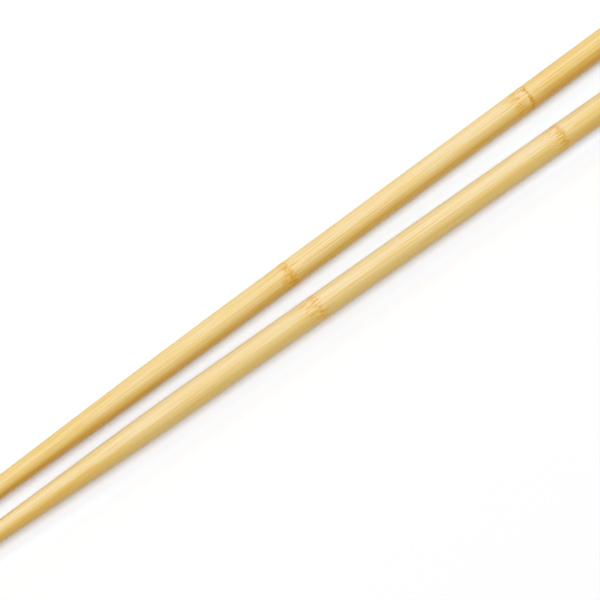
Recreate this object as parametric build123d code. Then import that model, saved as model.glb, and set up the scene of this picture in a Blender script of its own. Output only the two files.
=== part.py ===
from build123d import *
import math
import os

# A pair of round bamboo chopsticks lying side by side, tips towards -X, heads towards +X.
# Each stick is one turned piece: a rounded tip, a straight taper that runs into the
# shaft through a long tangent blend, a shallow knuckle at each node of the bamboo,
# and a flat head with a rounded edge. The left stick is on the +Y side.
# Lengths are in millimetres and angles in degrees.

# Both sticks
stick_length = 240.0
tip_edge_radius = 0.8
head_edge_radius = 0.8

# The knuckle at a node: a long rise on the tip side, a short fall on the head side
knuckle_height = 0.06
knuckle_rise_length = 5.5
knuckle_fall_length = 1.6

# How the pair lies: distance between the axes at mid-length, and the angle between them
middle_spacing = 10.0
splay_angle = 1.4

# Left stick. The taper length runs from the tip to where the cone would meet the shaft.
left_shaft_diameter = 5.9
left_tip_diameter = 3.1
left_taper_length = 80.5
left_blend_length = 48.6
left_shaft_to_node = 12.5
left_node_spacing = 65.6

# Right stick, a little thicker and with a shorter taper
right_shaft_diameter = 6.1
right_tip_diameter = 2.8
right_taper_length = 73.2
right_blend_length = 27.6
right_shaft_to_node = 30.3
right_node_spacing = 66.6


def node_places(first_node, node_spacing):
    """Distances from the tip to each node that has room for its knuckle before the head."""
    last_place = stick_length - head_edge_radius - knuckle_fall_length
    node_count = math.floor((last_place - first_node) / node_spacing) + 1
    return [first_node + node_spacing * index for index in range(node_count)]


def turned_stick(shaft_diameter, tip_diameter, taper_length, blend_length, shaft_to_node, node_spacing):
    """One stick along +X with its tip at the origin, turned from half of its section."""
    shaft_radius = shaft_diameter / 2
    tip_corner = (0, tip_diameter / 2)
    taper_corner = (taper_length, shaft_radius)
    head_corner = (stick_length, shaft_radius)

    # The blend reaches as far along the cone as along the shaft, and is tangent to both
    blend_reach = blend_length / 2
    taper_slope = (shaft_radius - tip_diameter / 2) / taper_length
    blend_start = (taper_length - blend_reach, shaft_radius - taper_slope * blend_reach)
    blend_end = (taper_length + blend_reach, shaft_radius)
    first_node = blend_end[0] + shaft_to_node

    with BuildPart() as stick:
        with BuildSketch() as half_section:
            with BuildLine():
                Polyline((0, 0), tip_corner, blend_start)
                Bezier(blend_start, taper_corner, blend_end)
                run_start = blend_end
                for node in node_places(first_node, node_spacing):
                    rise_start = (node - knuckle_rise_length, shaft_radius)
                    fall_end = (node + knuckle_fall_length, shaft_radius)
                    crest = (node, shaft_radius + knuckle_height)
                    # Both flanks leave the shaft smoothly and meet in a ridge at the node
                    Line(run_start, rise_start)
                    Bezier(rise_start, (node - knuckle_rise_length / 2, shaft_radius), crest)
                    Bezier(crest, (node + knuckle_fall_length / 2, shaft_radius), fall_end)
                    run_start = fall_end
                Polyline(run_start, head_corner, (stick_length, 0), (0, 0))
            make_face()
            for corner, radius in ((tip_corner, tip_edge_radius), (head_corner, head_edge_radius)):
                fillet(half_section.vertices().sort_by_distance(corner)[0], radius=radius)
        revolve(axis=Axis.X)
    return stick.part


def laid_stick(stick, shaft_diameter, side):
    """The stick resting on its knuckles on the plane Z = 0, turned about its own middle."""
    axis_height = shaft_diameter / 2 + knuckle_height
    place = Location((0, side * middle_spacing / 2, axis_height), (0, 0, side * splay_angle / 2))
    return place * Pos(-stick_length / 2, 0, 0) * stick


left_stick = turned_stick(
    left_shaft_diameter,
    left_tip_diameter,
    left_taper_length,
    left_blend_length,
    left_shaft_to_node,
    left_node_spacing,
)
right_stick = turned_stick(
    right_shaft_diameter,
    right_tip_diameter,
    right_taper_length,
    right_blend_length,
    right_shaft_to_node,
    right_node_spacing,
)

os.makedirs("parts", exist_ok=True)
export_step(laid_stick(left_stick, left_shaft_diameter, side=1), "parts/left_chopstick.step")
export_step(laid_stick(right_stick, right_shaft_diameter, side=-1), "parts/right_chopstick.step")
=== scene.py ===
import math

import bpy
import numpy as np
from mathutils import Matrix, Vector


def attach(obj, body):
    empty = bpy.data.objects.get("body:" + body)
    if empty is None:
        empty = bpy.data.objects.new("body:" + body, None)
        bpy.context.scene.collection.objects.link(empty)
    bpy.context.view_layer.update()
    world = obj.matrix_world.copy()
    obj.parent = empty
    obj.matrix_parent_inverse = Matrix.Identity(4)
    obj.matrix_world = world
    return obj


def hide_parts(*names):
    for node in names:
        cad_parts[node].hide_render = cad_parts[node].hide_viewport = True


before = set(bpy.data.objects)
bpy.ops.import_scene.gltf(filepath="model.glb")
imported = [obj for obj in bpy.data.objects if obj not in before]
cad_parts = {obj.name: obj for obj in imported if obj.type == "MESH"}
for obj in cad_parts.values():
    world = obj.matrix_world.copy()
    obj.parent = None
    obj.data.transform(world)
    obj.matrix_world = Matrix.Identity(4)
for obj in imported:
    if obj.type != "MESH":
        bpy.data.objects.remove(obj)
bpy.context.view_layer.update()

mm = 0.001
print("frame loaded:", sorted(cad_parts))


# A socket of a node tree. Arithmetic on sockets and numbers adds Math nodes.
class Signal:
    def __init__(self, sheet, socket):
        self.sheet = sheet
        self.socket = socket

    def output(self, name):
        return Signal(self.sheet, self.socket.node.outputs[name])

    def maths(self, operation, *values):
        return self.sheet.add("Math", {"operation": operation}, dict(enumerate(values)))

    def __add__(self, other):
        return self.maths("ADD", self, other)

    def __radd__(self, other):
        return self.maths("ADD", other, self)

    def __sub__(self, other):
        return self.maths("SUBTRACT", self, other)

    def __rsub__(self, other):
        return self.maths("SUBTRACT", other, self)

    def __mul__(self, other):
        return self.maths("MULTIPLY", self, other)

    def __rmul__(self, other):
        return self.maths("MULTIPLY", other, self)

    def __truediv__(self, other):
        return self.maths("DIVIDE", self, other)

    def __rtruediv__(self, other):
        return self.maths("DIVIDE", other, self)

    def __abs__(self):
        return self.maths("ABSOLUTE", self)

    # the larger of the two
    def __or__(self, other):
        return self.maths("MAXIMUM", self, other)

    def __ror__(self, other):
        return self.maths("MAXIMUM", other, self)


# A node tree. Every node that is not plain maths comes from add().
class NodeSheet:
    def __init__(self, tree):
        self.tree = tree
        tree.nodes.clear()

    def add(self, kind, settings=None, sockets=None, output=0):
        node = self.tree.nodes.new("ShaderNode" + kind)
        for name, value in (settings or {}).items():
            setattr(node, name, value)
        for name, value in (sockets or {}).items():
            if isinstance(value, Signal):
                self.tree.links.new(value.socket, node.inputs[name])
            else:
                node.inputs[name].default_value = value
        return Signal(self, node.outputs[output]) if node.outputs else node

    # 0 below the first bound, 1 above the second, smooth between; bounds the other way round fall
    def ease(self, value, start, end):
        bounds = {"Value": value, "From Min": start, "From Max": end}
        return self.add("MapRange", {"interpolation_type": "SMOOTHSTEP", "clamp": False}, bounds)

    def blend(self, share, first, second, way="MIX"):
        settings = {"data_type": "RGBA", "blend_type": way}
        return self.add("Mix", settings, {0: share, 6: first, 7: second}, output=2)


# sizes of the two sticks, in millimetres from the tip, as in the part's source
bothSticks = {
    "length": 240.0,
    "tipEdge": 0.8,
    "headEdge": 0.8,
    "knuckleHeight": 0.06,
    "knuckleRise": 5.5,
    "knuckleFall": 1.6,
    "spacing": 10.0,        # between the axes at mid-length
    "splay": 1.4,           # degrees between the axes
    "around": 96,           # points round each ring
    "evenSteps": 161,       # rings from end to end, then those added at each knuckle and each end
    "riseSteps": 23,
    "fallSteps": 11,
    "edgeSteps": 13,
}

leftStick = {
    "name": "leftBambooStick",
    "node": "left_chopstick",
    "side": 1,
    "shaft": 5.9,
    "tip": 3.1,
    "taper": 80.5,
    "blend": 48.6,
    "nodes": (117.3, 182.9),
}

rightStick = {
    "name": "rightBambooStick",
    "node": "right_chopstick",
    "side": -1,
    "shaft": 6.1,
    "tip": 2.8,
    "taper": 73.2,
    "blend": 27.6,
    "nodes": (117.3, 183.9),
}


# Places along the stick: even steps everywhere, and fine steps over the knuckles and the ends.
def placesAlong(stick):
    length = bothSticks["length"]
    steps = [np.linspace(0.0, length, bothSticks["evenSteps"])]
    for node in stick["nodes"]:
        rise = node - bothSticks["knuckleRise"]
        fall = node + bothSticks["knuckleFall"]
        steps.append(np.linspace(rise, node, bothSticks["riseSteps"]))
        steps.append(np.linspace(node, fall, bothSticks["fallSteps"]))
    quarter = np.linspace(0.0, math.pi / 2, bothSticks["edgeSteps"])
    steps.append(bothSticks["tipEdge"] * (1 - np.cos(quarter)))
    steps.append(length - bothSticks["headEdge"] * (1 - np.cos(quarter)))
    places = np.unique(np.round(np.concatenate(steps), 5))
    return places[(places > 0) & (places < length)]


# Radius of the stick at each place: a cone from the tip, a parabola tangent to cone and shaft,
# the shaft, a ridge with two parabolic flanks at each node, and a quarter circle off each end.
def radiusAt(stick, x):
    shaft = stick["shaft"] / 2
    tip = stick["tip"] / 2
    reach = stick["blend"] / 2
    slope = (shaft - tip) / stick["taper"]
    start = stick["taper"] - reach
    end = stick["taper"] + reach
    share = np.clip((x - start) / (end - start), 0, 1)
    blend = shaft - slope * reach * (1 - share) ** 2
    radius = np.where(x < start, tip + slope * x, blend)
    for node in stick["nodes"]:
        rising = np.clip(1 - (node - x) / bothSticks["knuckleRise"], 0, 1)
        falling = np.clip(1 - (x - node) / bothSticks["knuckleFall"], 0, 1)
        radius = radius + bothSticks["knuckleHeight"] * np.where(x < node, rising, falling) ** 2
    for edge, depth in (("tipEdge", x), ("headEdge", bothSticks["length"] - x)):
        size = bothSticks[edge]
        into = np.clip(size - depth, 0, size)
        radius = radius - (size - np.sqrt(size ** 2 - into ** 2))
    return radius


# Where the stick's own tip lies, and its direction, in metres in the shared frame.
def stickPlace(stick):
    turn = math.radians(stick["side"] * bothSticks["splay"] / 2)
    height = stick["shaft"] / 2 + bothSticks["knuckleHeight"]
    along = Vector((math.cos(turn), math.sin(turn), 0))
    middle = Vector((0, stick["side"] * bothSticks["spacing"] / 2, height))
    return (middle - along * bothSticks["length"] / 2) * mm, turn


# A stick: rings of (x, r cos a, r sin a) along its axis, turned and moved to its place,
# with one closing point in the middle of each end.
def makeStick(stick):
    around = bothSticks["around"]
    x = placesAlong(stick)
    radius = radiusAt(stick, x)
    angle = np.linspace(0, 2 * math.pi, around, endpoint=False)
    tipRim = stick["tip"] / 2 - bothSticks["tipEdge"]
    headRim = stick["shaft"] / 2 - bothSticks["headEdge"]
    x = np.concatenate(([0.0], x, [bothSticks["length"]]))
    radius = np.concatenate(([tipRim], radius, [headRim]))
    rings = np.empty((len(x), around, 3))
    rings[..., 0] = x[:, None]
    rings[..., 1] = radius[:, None] * np.cos(angle)
    rings[..., 2] = radius[:, None] * np.sin(angle)
    poles = np.array([[0.0, 0, 0], [bothSticks["length"], 0, 0]])
    points = np.concatenate((rings.reshape(-1, 3), poles)) * mm
    tip, turn = stickPlace(stick)
    cosine, sine = math.cos(turn), math.sin(turn)
    turned = np.array([[cosine, -sine, 0], [sine, cosine, 0], [0, 0, 1]])
    points = points @ turned.T + np.array(tip)

    ring = np.arange(len(x) - 1)[:, None] * around
    here = np.arange(around)[None, :]
    after = (here + 1) % around
    walls = np.stack((ring + here, ring + after, ring + around + after, ring + around + here), axis=-1)
    tipPole = len(x) * around
    lastRing = (len(x) - 1) * around
    first = np.arange(around)
    second = (first + 1) % around
    tipFan = np.stack((np.full(around, tipPole), second, first), axis=-1)
    headFan = np.stack((np.full(around, tipPole + 1), lastRing + first, lastRing + second), axis=-1)
    faces = walls.reshape(-1, 4).tolist() + tipFan.tolist() + headFan.tolist()

    mesh = bpy.data.meshes.new(stick["name"])
    mesh.from_pydata(points.tolist(), [], faces)
    mesh.validate()
    mesh.shade_smooth()
    piece = bpy.data.objects.new(stick["name"], mesh)
    bpy.context.scene.collection.objects.link(piece)
    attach(piece, "root")
    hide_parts(stick["node"])
    print("stick made:", stick["name"], len(points), "points,", len(faces), "faces")
    return piece


# colours of the bamboo, linear, and its surface
bamboo = {
    "cream": (0.825, 0.66, 0.38, 1),
    "honey": (0.76, 0.53, 0.165, 1),
    "gold": (0.69, 0.405, 0.075, 1),
    "streak": (0.96, 0.84, 0.28, 1),        # multiplies what it crosses
    "gap": (1.05, 1.085, 1.24, 1),          # multiplies what lies between the dashes at a node
    "amber": (0.72, 0.39, 0.02, 1),
    "brown": (0.50, 0.215, 0.012, 1),
    "roughness": 0.47,
    "roughFibres": 0.16,
    "roughAmber": 0.08,
    "roughCut": 0.15,
    "bumpStrength": 0.6,
    "bumpDepth": 0.00002,                   # metres
    "bumpHairs": 0.5,
    "bumpFibres": 0.7,
    "bumpDots": 0.6,
    "cutDepth": (0.35, 0.05),               # distances from an end at which its cut face starts and is full
    "cutAmber": 0.2,
    "cutDots": 0.5,
}

# Noise layers: changes per millimetre along the stick and across it, and a shift that keeps them apart.
noiseMiddle = 0.5
noiseLayers = {
    "wander": (0.15, 0.9, 0),
    "curl": (0.4, 0.6, 20),
    "swirl": (0.4, 0.6, 50),
    "zones": (0.012, 0.45, 0),
    "bundles": (0.013, 1.25, 0),
    "breaks": (0.07, 1.6, 12),
    "lines": (0.004, 1.35, 5),
    "faint": (0.008, 2.5, 6),
    "fibres": (0.03, 3.6, 7),
    "hairs": (0.10, 4.6, 9),
    "patches": (0.10, 1.3, 30),
    "drift": (0.05, 0.3, 60),
    "dashes": (0.55, 5.5, 80),
    "dots": (0.8, 2.2, 90),
    "ragged": (0.02, 2.6, 70),
}

# where what a layer draws starts to show, and where it shows in full
noiseEdges = {
    "bundles": (0.36, 0.12),
    "breaks": (0.36, 0.58),
    "lines": (0.05, 0.015),
    "faint": (0.07, 0.02),
    "patches": (0.30, 0.55),
    "dashes": (0.47, 0.61),
    "gaps": (0.50, 0.36),
    "licks": (0.47, 0.62),
    "dots": (0.42, 0.64),
}

# what the tone of the bamboo is made of
toneParts = {
    "paleCore": 1.9,                # up to this squared distance from the axis the painted highlight and shade of the sides fade out
    "sideMiddle": 0.55,             # value halfway round from the lit side painted pale, and its swing either way
    "sideSwing": 0.5,
    "paintedFlankAt": 100.0,            # angle of the low flank with its painted light and shade, and cosines between which it comes in
    "lowFlankRange": (0.74, 0.93),
    "zones": 0.3,
    "bundles": 0.08,
    "lines": 0.14,
    "faint": 0.15,
    "fibres": 0.32,
    "hairs": 0.48,
    "clearRange": (0.3, 0.85),      # how far towards the lit side, painted pale, the grain is clear
}

# how streaks and marks are drawn
strokeLook = {
    "edge": (0.44, 0.06),           # shares of the width at which a stroke starts and is full
    "streakFull": 0.7,              # share of the length over which it is full
    "streakDrift": 0.2,
    "streakEven": 0.85,
    "streakPatches": 0.55,
    "markFull": 0.5,
    "markRagged": 0.1,
    "markSway": 0.12,
}

# how the nodes are drawn, lengths in millimetres
nodeLook = {
    "ringWander": 1.1,              # how far a ring strays along the stick
    "changeOver": (-0.15, 0.15),    # where the fibres start afresh, and how far their pattern jumps
    "freshStart": 67.3,
    "bendReach": (6.0, 0.5),        # distances from the ring at which fibres start to bend and bend most
    "bendDepth": 0.3,
    "ragged": 3.0,                  # how unevenly the dashes start
    "heavyRange": (0.2, 1.0),       # cosines between which the heavy side comes in
    "bandIn": (-0.6, 0.4),          # fades of the band round its start and its end
    "bandOut": (0.35, -0.25),
    "bandOutRagged": 0.25,
    "heart": (1.4, 0.1),            # distances from the thickest part of the band
    "heartSpread": 0.06,            # how much the dashes spread there
    "headSide": (-0.4, 0.2),        # from the tip side of a ring to its head side
    "flameRoot": 0.2,
    "featherShare": 0.8,
    "ringHalf": 0.25,               # half of a ring's width, what its dots add, and where it is full
    "ringDots": 0.2,
    "ringFull": 0.05,
    "dashWash": 1.05,
    "bandWash": 0.06,
    "heartWash": 0.10,
    "washAllRound": 0.6,
    "washHeavy": 0.5,
    "lickAmber": 0.36,
    "markAmber": 1.1,
    "markBrownRange": (0.6, 1.1),   # strengths of marks between which they turn brown
    "markBrown": 0.6,
    "heartBrown": 0.6,
    "gaps": 0.8,
}

# What shows on each stick. Angles are in degrees from straight up, positive towards -Y.
# A golden end is where it starts along the stick, where it is full, the tone that it adds all round,
# and what it adds to the contrast between the sides, that is to the painted highlight and shade.
# A streak is its angles at both ends, its start and end along the stick, its width, and its strength.
# A node's bow is how far its ring bends towards the head on top; its band of dashes lies between
# bandStart and bandEnd, counted from the ring towards the head, with its thickest part at dense
# and its darkest at the angle heavy. Flames are how far fibres stay dark past the ring, and feather how
# far before it. Its marks are short streaks, placed from the node.
leftFinish = {
    "seed": 3.0,
    "paintedLitSide": -17.0,          # the lit side, painted paler as a highlight; the far side is painted more golden as shade
    "paleRange": (-0.20, 0.45),
    "paleTone": -0.19,
    # how strongly the sides differ in painted highlight and shade
    "paintedShadeContrast": 0.95,
    "lowFlank": -0.12,          # added to the tone low on the -Y side: painted light there, paler, for light bounced off the floor
    "darkSideGrain": 0.7,       # how far the grain still shows on the other side
    "markSpread": 1.4,          # multiplies the widths of the marks at the nodes
    "goldenEnds": ((110.0, 40.0, 0.06, 0.20), (182.0, 190.0, -0.01, 0.30)),
    "streaks": (
        (-22, -35, 40, 71, 0.34, 1.50),
        (7, 4, 36, 62, 0.36, 1.00),
        (13, 12, 38, 56, 0.32, 0.60),
        (43, 44, 47, 66, 0.46, 0.45),
        (52, 54, 34, 66, 0.60, 0.90),
        (58, 57, 65, 82, 0.60, 0.35),
        (56, 55, 80, 114, 0.40, 0.20),
        (9.5, 13, 76, 115, 0.34, 1.20),
        (-26, -26, 100, 108, 0.32, 0.75),
        (-15, -15, 96, 116, 0.32, 0.75),
        (-8, -8, 94, 112, 0.28, 0.35),
        (-1, -1, 97, 110, 0.28, 0.40),
        (-12, -12, 120, 138, 0.30, 0.30),
        (-2.5, -3, 118, 134, 0.28, 0.35),
        (13.5, 12.5, 118, 143, 0.34, 0.95),
        (12.5, 12, 141, 156, 0.30, 0.55),
        (3.5, 3, 134, 156, 0.28, 0.80),
        (-27, -28, 131, 156, 0.28, 0.40),
        (52, 54, 118, 182, 0.46, 0.80),
        (41, 41, 135, 149, 0.38, 0.40),
        (-5, 2, 144, 166, 0.30, 0.60),
        (1, 0, 166, 181, 0.30, 0.80),
        (-37, -37, 160, 175, 0.30, 0.35),
        (26, 26, 168, 180, 0.30, 0.30),
        (-30, -31, 183, 212, 0.38, 1.60),
        (-22, -22, 184, 212, 0.26, 0.40),
        (-9.5, -9.5, 186, 212, 0.28, 0.50),
        (-3, -3, 187, 212, 0.26, 0.60),
        (41, 41, 188, 212, 0.30, 0.45),
        (8, 7, 183, 207, 0.34, 1.00),
        (32, 33, 183, 216, 0.46, 0.80),
    ),
    "nodes": (
        {"at": leftStick["nodes"][0], "bow": -0.3, "ring": 0.10, "bandStart": -2.2, "bandEnd": 0.4,
         "dense": -0.7, "strength": 0.34, "heavy": 38.0, "flames": 2.4, "feather": 13.0,
         "marks": (
             (-54, -54, -2.4, -0.3, 0.36, 0.70),
             (-41, -41, -1.9, 0.4, 0.30, 0.85),
             (-26, -26, -1.5, 0.5, 0.30, 0.65),
             (-17, -17, -1.6, 0.4, 0.28, 0.55),
             (-11, -11, -1.6, -0.3, 0.28, 0.50),
             (-10, -10, -0.2, 3.1, 0.26, 0.65),
             (4, 4, -2.3, 0.5, 0.30, 0.45),
             (15, 15, -2.4, 0.7, 0.30, 0.80),
             (24, 25, -3.6, -1.6, 0.32, 0.95),
             (25, 24, -1.3, -0.1, 0.34, 0.95),
             (27, 23, -0.2, 3.1, 0.26, 0.75),
             (35, 33, -3.8, -1.4, 0.28, 0.95),
             (36, 32, -1.2, 0.8, 0.34, 1.10),
             (39, 38, 0.0, 1.9, 0.28, 0.55),
             (42, 41, -3.1, 0.2, 0.26, 0.65),
             (53, 50, -2.5, 0.8, 0.34, 0.95),
             (76, 74, -3.1, -0.8, 0.50, 0.90),
             (77, 76, -0.9, 0.6, 0.44, 0.60),
         )},
        {"at": leftStick["nodes"][1], "bow": 0.6, "ring": 0.54, "bandStart": -4.2, "bandEnd": -0.3,
         "dense": -3.0, "strength": 0.20, "heavy": 25.0, "flames": 2.6, "feather": 7.0,
         "marks": (
             (-58, -54, -1.3, 0.2, 0.44, 0.70),
             (-35, -34, -0.4, 0.6, 0.44, 0.80),
             (-25, -25, -0.3, 0.7, 0.44, 1.00),
             (-6, -6, 0.0, 1.0, 0.44, 0.50),
             (11, 11, 0.0, 1.1, 0.44, 1.00),
             (19, 19, 0.0, 1.1, 0.44, 0.90),
             (28, 28, -0.2, 1.1, 0.48, 1.15),
             (38, 38, -0.1, 1.1, 0.44, 1.05),
             (51, 51, -0.3, 0.9, 0.40, 1.00),
             (61, 61, -0.5, 0.5, 0.44, 0.80),
             (78, 73, -2.3, 0.5, 0.64, 0.90),
             (-50, -50, -3.9, -0.6, 0.28, 0.70),
             (-43, -43, -4.9, -0.9, 0.26, 0.75),
             (-38, -38, -3.0, -0.2, 0.26, 0.65),
             (-28, -29, -3.6, -0.3, 0.24, 0.65),
             (-16, -16, -4.0, -0.8, 0.24, 0.60),
             (-33, -32, -5.7, -3.2, 0.30, 0.75),
             (-33, -33, -1.2, 0.2, 0.28, 0.65),
             (-22, -22, -5.3, -1.7, 0.28, 0.55),
             (-10, -10, -4.2, -1.0, 0.26, 0.50),
             (0, 0, -7.9, -2.3, 0.26, 0.60),
             (11, 9, -2.9, -0.4, 0.26, 0.65),
             (18, 19, -4.1, -1.8, 0.30, 0.85),
             (28, 28, -4.7, -1.0, 0.26, 0.65),
             (35, 35, -4.0, -0.8, 0.26, 0.65),
             (48, 48, -4.7, 0.2, 0.28, 0.65),
             (3, 3, 0.2, 4.2, 0.24, 0.55),
             (12, 12, 0.4, 2.7, 0.24, 0.50),
             (37, 37, 0.4, 2.8, 0.26, 0.65),
             (50, 50, -0.0, 2.6, 0.28, 0.75),
         )},
    ),
}

rightFinish = {
    "seed": 41.0,
    # the lit side, painted paler as a highlight; the far side is painted more golden as shade
    "paintedLitSide": -34.0,
    "paleRange": (-0.185, 0.57),
    "paleTone": -0.17,
    "paintedShadeContrast": 0.75,
    # painted shade: more golden low on the -Y side
    "lowFlank": 0.10,
    "darkSideGrain": 0.4,
    "markSpread": 1.15,
    "goldenEnds": ((80.0, 40.0, 0.10, 0.18), (180.0, 192.0, 0.11, 0.16)),
    "streaks": (
        (-30, -33, 28, 118, 0.30, 0.65),
        (-31.5, -32, 52, 70, 0.34, 0.45),
        (-27, -28, 54, 64, 0.30, 0.45),
        (38.5, 36, 28, 53, 0.44, 1.00),
        (26, 25, 30, 41, 0.36, 0.90),
        (24, 20, 45, 66, 0.55, 0.70),
        (17, 12, 60, 90, 0.32, 0.95),
        (14.5, 14.5, 87, 117, 0.30, 0.80),
        (-9.5, -9.5, 70, 92, 0.28, 0.30),
        (62, 62, 84, 106, 0.36, 0.25),
        (40, 41, 84, 116, 0.30, 0.30),
        (14, 13.5, 117, 146, 0.34, 1.15),
        (13.5, 13, 142, 176, 0.30, 0.65),
        (14, 14, 174, 184, 0.34, 0.80),
        (-33, -33, 117, 127, 0.32, 0.85),
        (-27, -28, 126, 140, 0.30, 0.90),
        (-31, -31, 140, 154, 0.32, 1.00),
        (-33, -34, 153, 173, 0.34, 1.15),
        (-9.5, -9.5, 148, 160, 0.28, 0.50),
        (-2, -2, 139, 150, 0.28, 0.45),
        (28, 27, 155, 184, 0.40, 0.60),
        (42, 41, 143, 158, 0.40, 0.60),
        (36, 37, 156, 184, 0.44, 0.60),
        (61, 61, 139, 151, 0.36, 0.20),
        (10, 9, 184, 212, 0.34, 0.70),
        (-34, -34, 184, 214, 0.36, 1.40),
        (-12, -12, 180, 198, 0.30, 0.45),
        (-5, -5, 186, 200, 0.28, 0.55),
        (3.5, 3.5, 185, 204, 0.28, 0.50),
        (38, 38, 185, 204, 0.36, 0.70),
    ),
    "nodes": (
        {"at": rightStick["nodes"][0], "bow": -0.3, "ring": 0.06, "bandStart": -2.8, "bandEnd": 1.1,
         "dense": 0.3, "strength": 0.25, "heavy": 15.0, "flames": 1.8, "feather": 7.0,
         "marks": (
             (-50, -50, -1.6, 0.8, 0.44, 0.65),
             (-39, -39, -1.4, 1.6, 0.28, 0.55),
             (-27, -30, -3.9, -1.2, 0.28, 0.65),
             (-17, -17, -1.2, 1.5, 0.44, 0.85),
             (-8, -8, -3.2, -0.6, 0.26, 0.45),
             (-2, -2, -0.9, 1.3, 0.30, 0.75),
             (12, 12, -0.7, 0.8, 0.32, 0.60),
             (27, 22, -3.4, -0.3, 0.30, 0.85),
             (32, 32, -0.6, 0.6, 0.36, 1.10),
             (40, 38, -3.7, -1.0, 0.30, 0.55),
             (41, 37, -0.2, 2.1, 0.32, 0.90),
             (38, 36, 1.0, 3.8, 0.24, 0.55),
             (50, 49, -2.4, -0.2, 0.30, 0.75),
             (50, 50, -0.7, 1.5, 0.30, 0.65),
             (56, 55, -2.3, -0.7, 0.30, 0.65),
             (73, 71, -1.9, 2.1, 0.50, 0.70),
         )},
        {"at": rightStick["nodes"][1], "bow": 0.1, "ring": 0.10, "bandStart": -3.0, "bandEnd": 0.7,
         "dense": -0.2, "strength": 0.26, "heavy": 20.0, "flames": 2.0, "feather": 8.0,
         "marks": (
             (-58, -54, -3.6, 0.0, 0.44, 0.60),
             (-50, -50, -1.5, -0.3, 0.36, 0.95),
             (-41, -41, -2.8, 0.7, 0.30, 0.60),
             (-28, -28, -0.5, 0.6, 0.34, 0.70),
             (-12, -13, -2.4, 1.2, 0.28, 0.60),
             (-4, -6, -1.4, 1.2, 0.32, 0.85),
             (5, 3, -1.8, 1.4, 0.32, 0.90),
             (17, 17, -1.6, 0.4, 0.34, 0.90),
             (27, 23, -0.5, 0.9, 0.32, 0.65),
             (34, 33, -1.8, 0.1, 0.36, 1.10),
             (43, 42, -2.6, -1.1, 0.28, 0.60),
             (44, 41, -0.9, 0.7, 0.32, 0.75),
             (54, 52, -2.7, 0.6, 0.34, 0.85),
             (75, 72, -3.3, 0.6, 0.58, 0.70),
         )},
    ),
}


# Object coordinates turned into a stick's own millimetres, counted from its tip along its axis.
def placeInStick(sheet, stick):
    tip, turn = stickPlace(stick)
    spot = sheet.add("TexCoord", output="Object")
    frameOfStick = {"Vector": spot, "Location": tip, "Rotation": (0, 0, turn), "Scale": (mm, mm, mm)}
    inStick = sheet.add("Mapping", {"vector_type": "TEXTURE"}, frameOfStick)
    parts = sheet.add("SeparateXYZ", None, {"Vector": inStick})
    return parts.output("X"), parts.output("Y"), parts.output("Z")


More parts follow.
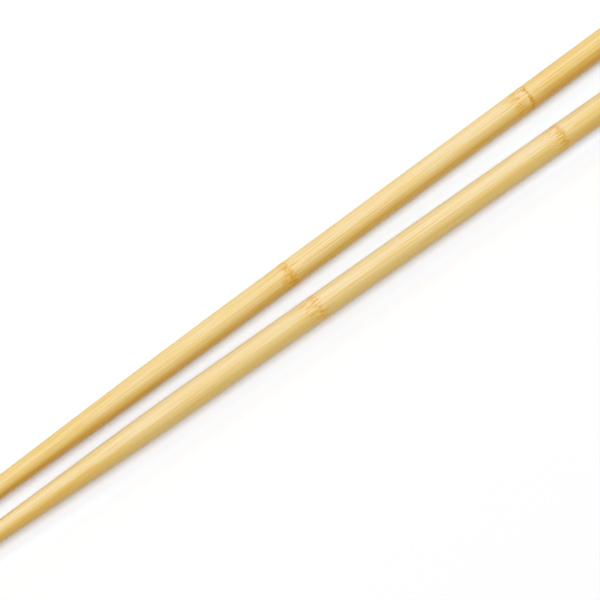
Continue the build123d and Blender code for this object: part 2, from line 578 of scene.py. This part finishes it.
# The bamboo of one stick, worked out in the stick's own millimetres, so that the fibres run along it
# and the taper cuts across them.
def bambooFinish(stick, finish):
    material = bpy.data.materials.new(stick["name"].replace("Stick", "Finish"))
    material.use_nodes = True
    sheet = NodeSheet(material.node_tree)
    ease = sheet.ease
    x, y, z = placeInStick(sheet, stick)
    radians = y.maths("ARCTAN2", -1 * y, z)
    shaftRadius = stick["shaft"] / 2

    # a place drawn out along the stick, for a noise layer
    def drawnOut(place, layer):
        along, across, shift = noiseLayers[layer]
        px, py, pz = place
        parts = {"X": px * along + (finish["seed"] + shift), "Y": py * across, "Z": pz * across}
        return sheet.add("CombineXYZ", None, parts)

    def noise(place, layer, detail=0.0):
        spot = drawnOut(place, layer)
        return sheet.add("TexNoise", None, {"Vector": spot, "Scale": 1.0, "Detail": detail})

    # 1 where the stick faces an angle, -1 on the other side
    def facing(degrees):
        return radians.maths("COSINE", radians - math.radians(degrees))

    # the rings of the nodes wander a little; past each one the fibres start afresh
    inStick = (x, y, z)
    wobble = noise(inStick, "wander") - noiseMiddle
    upness = z / shaftRadius
    beyond = x
    bend = 0.0
    rings = []
    for node in finish["nodes"]:
        fromRing = x - node["at"] - upness * node["bow"] - wobble * nodeLook["ringWander"]
        rings.append(fromRing)
        beyond = beyond + ease(fromRing, *nodeLook["changeOver"]) * nodeLook["freshStart"]
        bend = ease(abs(fromRing), *nodeLook["bendReach"]) + bend
    curl = noise(inStick, "curl") - noiseMiddle
    swirl = noise(inStick, "swirl") - noiseMiddle
    bendDepth = nodeLook["bendDepth"]
    place = (beyond, y + bend * curl * bendDepth, z + bend * swirl * bendDepth)

    # tone runs from 0, cream, to 1, gold: a painted highlight, paler on the lit side, and painted shade,
    # more golden on the other, golden ends, and broad zones
    paintedLight = facing(finish["paintedLitSide"])
    paintedLight = paintedLight * ease(y * y + z * z, 0.0, toneParts["paleCore"])
    contrast = finish["paintedShadeContrast"]
    golden = finish["paleTone"]
    for start, end, allRound, darkSide in finish["goldenEnds"]:
        golden = ease(x, start, end) * allRound + golden
        contrast = ease(x, start, end) * darkSide + contrast
    fromPaintedLight = toneParts["sideMiddle"] - paintedLight * toneParts["sideSwing"]
    tone = ease(fromPaintedLight, *finish["paleRange"]) * contrast + golden
    # painted light and shade low on the -Y side of the stick
    lowFlank = ease(facing(toneParts["paintedFlankAt"]), *toneParts["lowFlankRange"])
    tone = tone + lowFlank * finish["lowFlank"]
    zones = noise(place, "zones", 1.0)
    tone = tone + (zones - noiseMiddle) * toneParts["zones"]

    # fibre bundles: long thin cells, seen as streaks along the stick and dots on its ends
    bundle = sheet.add("TexVoronoi", None, {"Vector": drawnOut(place, "bundles"), "Scale": 1.0})
    bundles = ease(bundle, *noiseEdges["bundles"])
    # thin lines where slow noise passes its middle, broken up along their length, over soft fibres
    breaks = ease(noise(place, "breaks"), *noiseEdges["breaks"])
    lines = ease(abs(noise(place, "lines") - noiseMiddle), *noiseEdges["lines"]) * breaks
    faint = ease(abs(noise(place, "faint") - noiseMiddle), *noiseEdges["faint"])
    fibres = noise(place, "fibres")
    hairs = noise(place, "hairs")
    grain = bundles * toneParts["bundles"] + lines * toneParts["lines"] + faint * toneParts["faint"]
    grain = grain + (fibres - noiseMiddle) * toneParts["fibres"]
    grain = grain + (hairs - noiseMiddle) * toneParts["hairs"]
    clear = finish["darkSideGrain"]
    tone = tone + grain * (clear + ease(paintedLight, *toneParts["clearRange"]) * (1 - clear))

    # strokes on the surface laid flat: thin lines, each fading off its sides and towards its ends
    def strokes(rows, along, aside, fullShare, widen):
        around = radians * shaftRadius + aside
        outside, inside = strokeLook["edge"]
        total = 0.0
        for first, last, start, end, width, strength in rows:
            begins, ends = math.radians(first) * shaftRadius, math.radians(last) * shaftRadius
            slope = (ends - begins) / (end - start)
            fromLine = abs(around - (along * slope + (begins - start * slope)))
            fromMiddle = abs(along - (start + end) / 2)
            half = (end - start) / 2
            wide = width * widen
            stroke = ease(fromLine, wide * outside, wide * inside)
            stroke = stroke * ease(fromMiddle, half, half * fullShare)
            total = total + stroke * strength
        return total

    # the long golden streaks
    patches = ease(noise(inStick, "patches"), *noiseEdges["patches"])
    drift = noise(inStick, "drift") - noiseMiddle
    aside = drift * strokeLook["streakDrift"]
    streaks = strokes(finish["streaks"], x, aside, strokeLook["streakFull"], 1.0)
    streaks = streaks * (strokeLook["streakEven"] + patches * strokeLook["streakPatches"])

    # nodes: a broken ring, ragged dashes beside it, flames to the head and feathering to the tip
    dashGrain = noise(place, "dashes")
    dots = ease(noise(inStick, "dots"), *noiseEdges["dots"])
    ragged = (noise(inStick, "ragged") - noiseMiddle) * nodeLook["ragged"]
    amber = 0.0
    brown = 0.0
    gaps = 0.0
    for node, fromRing in zip(finish["nodes"], rings):
        heavy = ease(facing(node["heavy"]), *nodeLook["heavyRange"])
        inBand = fromRing + ragged
        atEnd = fromRing + ragged * nodeLook["bandOutRagged"]
        band = ease(inBand, *(node["bandStart"] + fade for fade in nodeLook["bandIn"]))
        band = band * ease(atEnd, *(node["bandEnd"] + fade for fade in nodeLook["bandOut"]))
        heart = ease(abs(fromRing - node["dense"]), *nodeLook["heart"])
        dashes = ease(dashGrain + heart * nodeLook["heartSpread"], *noiseEdges["dashes"]) * band
        gaps = ease(dashGrain, *noiseEdges["gaps"]) * band + gaps

        tipSide, headSide = nodeLook["headSide"]
        flames = ease(fromRing, tipSide, headSide) * ease(inBand, node["flames"], nodeLook["flameRoot"])
        feather = ease(inBand, -node["feather"], node["bandStart"]) * ease(fromRing, headSide, tipSide)
        licks = ease(fibres, *noiseEdges["licks"]) * (flames | feather * nodeLook["featherShare"])

        ringHalf = nodeLook["ringHalf"] + dots * nodeLook["ringDots"]
        ring = ease(abs(fromRing), ringHalf, nodeLook["ringFull"]) * node["ring"]
        along = x - node["at"] + ragged * strokeLook["markRagged"]
        aside = bend * curl * strokeLook["markSway"]
        marks = strokes(node["marks"], along, aside, strokeLook["markFull"], finish["markSpread"])

        wash = dashes * nodeLook["dashWash"] + band * (nodeLook["bandWash"] + heart * nodeLook["heartWash"])
        wash = wash * (nodeLook["washAllRound"] + heavy * nodeLook["washHeavy"]) * node["strength"]
        amber = wash + licks * nodeLook["lickAmber"] + ring + marks * nodeLook["markAmber"] + amber
        inMarks = ease(marks, *nodeLook["markBrownRange"]) * nodeLook["markBrown"]
        inHeart = dashes * heart * wash * nodeLook["heartBrown"]
        brown = ring * dots + inMarks + inHeart + brown

    # cut ends: duller, with the bundles as darker dots
    outer, inner = bamboo["cutDepth"]
    length = bothSticks["length"]
    cut = ease(x, outer, inner) + ease(x, length - outer, length - inner)

    color = sheet.blend(tone * 2, bamboo["cream"], bamboo["honey"])
    color = sheet.blend(tone * 2 - 1, color, bamboo["gold"])
    color = sheet.blend(gaps * nodeLook["gaps"], color, bamboo["gap"], "MULTIPLY")
    color = sheet.blend(streaks, color, bamboo["streak"], "MULTIPLY")
    color = sheet.blend(amber, color, bamboo["amber"])
    color = sheet.blend(brown, color, bamboo["brown"])
    color = sheet.blend(cut * bamboo["cutAmber"], color, bamboo["amber"])
    color = sheet.blend(cut * bundles * bamboo["cutDots"], color, bamboo["brown"])

    rough = bamboo["roughness"] + (fibres - noiseMiddle) * bamboo["roughFibres"]
    rough = rough + amber * bamboo["roughAmber"] + cut * bamboo["roughCut"]
    height = hairs * bamboo["bumpHairs"] + fibres * bamboo["bumpFibres"]
    height = height - cut * bundles * bamboo["bumpDots"]
    bumps = {"Strength": bamboo["bumpStrength"], "Distance": bamboo["bumpDepth"], "Height": height}
    bump = sheet.add("Bump", None, bumps)
    shader = sheet.add("BsdfPrincipled", None, {"Base Color": color, "Roughness": rough, "Normal": bump})
    sheet.add("OutputMaterial", None, {"Surface": shader})
    print("bamboo finish made for", stick["name"], len(material.node_tree.nodes), "nodes")
    return material


for stick, finish in ((leftStick, leftFinish), (rightStick, rightFinish)):
    piece = makeStick(stick)
    piece.data.materials.append(bambooFinish(stick, finish))


# floor and light
everywhere = (-60, -30)         # a tint that is full before the tips
stage = {
    "floorSize": 40.0,
    "floorTone": 0.95,          # what the floor gives back to the sticks
    "floorSeen": (0.935, 0.935, 0.935, 1),    # what the camera sees, so that open floor is white
    "tintEnds": 8.0,            # how far before the ends of the sticks the tints begin to fade
    # Tints of what the camera sees beside the sticks, against the colour that they throw on the floor;
    # they also lighten the floor in some of the sticks' shadows and darken it in others, as painted light
    # and shade. Columns: the stick, its side (1 towards +Y, -1 towards -Y, 0 both), full and faded-out
    # distance in millimetres from the line under its axis, where along the stick it starts and is full,
    # and the tint. Later ones lie over earlier ones.
    "paintedShadeTints": (
        (rightStick, 0, (5.0, 9.0), everywhere, (1.02, 1.06, 1.135, 1)),
        (leftStick, 0, (7.5, 11.0), everywhere, (1.0, 1.105, 1.24, 1)),
        (leftStick, -1, (2.3, 3.4), everywhere, (0.99, 1.045, 1.14, 1)),
        (rightStick, 1, (2.6, 4.6), everywhere, (1.10, 1.22, 1.38, 1)),
        (rightStick, 1, (4.2, 7.0), (105, 165), (0.93, 1.03, 1.15, 1)),
        (rightStick, -1, (3.2, 6.5), (150, 205), (1.09, 1.18, 1.36, 1)),
    ),
    "tintSides": (-0.5, 0.5),   # how a tint on one side fades across the line under the axis
    "sky": 0.335,               # even light from all round
    "lampHeight": 1.5,
    "lampLength": 3.0,
}

# long soft lamps above the sticks; lean is in degrees from overhead, towards the left stick
lamps = (
    {"name": "overheadLamp", "lean": 0.0, "width": 1.1, "watts": 20.4},
    {"name": "sideLamp", "lean": 45.0, "width": 0.7, "watts": 9.8},
)


# 1 for rays from the camera, off a gloss or through glass, 0 for light that spreads
def seenRay(sheet):
    path = sheet.add("LightPath")
    return path.output("Is Camera Ray") | path.output("Is Glossy Ray") | path.output("Is Transmission Ray")


def grey(level):
    return (level, level, level, 1)


# 1 on the floor near the line under a stick, 0 away from it, by the distance to that line;
# on one side of it only where a side is given
def besideStick(sheet, stick, side, reach, comesIn):
    x, y = placeInStick(sheet, stick)[:2]
    half = bothSticks["length"] / 2
    past = (abs(x - half) - half + stage["tintEnds"]) | 0.0
    inner, outer = reach
    near = sheet.ease(y.maths("SQRT", y * y + past * past), outer, inner)
    near = near * sheet.ease(x, *comesIn)
    return near * sheet.ease(y * side, *stage["tintSides"]) if side else near


def makeFloor():
    half = stage["floorSize"] / 2
    corners = [(-half, -half, 0), (half, -half, 0), (half, half, 0), (-half, half, 0)]
    mesh = bpy.data.meshes.new("floor")
    mesh.from_pydata(corners, [], [(0, 1, 2, 3)])
    floor = bpy.data.objects.new("floor", mesh)
    bpy.context.scene.collection.objects.link(floor)
    material = bpy.data.materials.new("paleFloor")
    material.use_nodes = True
    sheet = NodeSheet(material.node_tree)
    seen = stage["floorSeen"]
    # tints beside the sticks: painted light and shade on the floor, and a counter to the colour the sticks
    # throw on it
    for stick, side, reach, comesIn, tint in stage["paintedShadeTints"]:
        seen = sheet.blend(besideStick(sheet, stick, side, reach, comesIn), seen, tint)
    tone = sheet.blend(seenRay(sheet), grey(stage["floorTone"]), seen)
    matte = sheet.add("BsdfDiffuse", None, {"Color": tone})
    sheet.add("OutputMaterial", None, {"Surface": matte})
    mesh.materials.append(material)


def makeLight():
    world = bpy.data.worlds.new("softRoom")
    bpy.context.scene.world = world
    world.use_nodes = True
    sheet = NodeSheet(world.node_tree)
    level = sheet.blend(seenRay(sheet), grey(stage["sky"]), grey(1))
    sky = sheet.add("Background", None, {"Color": level})
    sheet.add("OutputWorld", None, {"Surface": sky})
    for lamp in lamps:
        light = bpy.data.lights.new(lamp["name"], "AREA")
        light.shape = "RECTANGLE"
        light.size = stage["lampLength"]
        light.size_y = lamp["width"]
        light.energy = lamp["watts"]
        source = bpy.data.objects.new(lamp["name"], light)
        lean = math.radians(lamp["lean"])
        source.location = Vector((0, math.sin(lean), math.cos(lean))) * stage["lampHeight"]
        source.rotation_euler = (-lean, 0, 0)
        source.visible_camera = False
        bpy.context.scene.collection.objects.link(source)


makeFloor()
makeLight()
print("stage made")

shot = {
    "azimuth": -36.61,
    "elevation": 76.0,
    "lens": 300.0,
    "sensor": 36.0,
    "target": (-4.7, -1.276, 3.06),     # what the middle of the picture shows, in millimetres
    "pictureWidth": 131.87,             # millimetres across the picture at the target
    "nearest": 0.01,                    # what the camera shows, in metres from it
    "farthest": 100.0,
}


def makeCamera():
    turn = math.radians(shot["azimuth"])
    rise = math.radians(shot["elevation"])
    back = Vector((math.sin(turn) * math.cos(rise), -math.cos(turn) * math.cos(rise), math.sin(rise)))
    data = bpy.data.cameras.new("camera")
    data.lens = shot["lens"]
    data.sensor_width = shot["sensor"]
    camera = bpy.data.objects.new("camera", data)
    distance = shot["pictureWidth"] * mm * shot["lens"] / shot["sensor"]
    camera.location = Vector(shot["target"]) * mm + back * distance
    camera.rotation_mode = "QUATERNION"
    camera.rotation_quaternion = (-back).to_track_quat("-Z", "Y")
    data.clip_start = shot["nearest"]
    data.clip_end = shot["farthest"]
    bpy.context.scene.collection.objects.link(camera)
    bpy.context.scene.camera = camera
    print("camera placed")


makeCamera()
bpy.context.scene.view_settings.view_transform = "Standard"
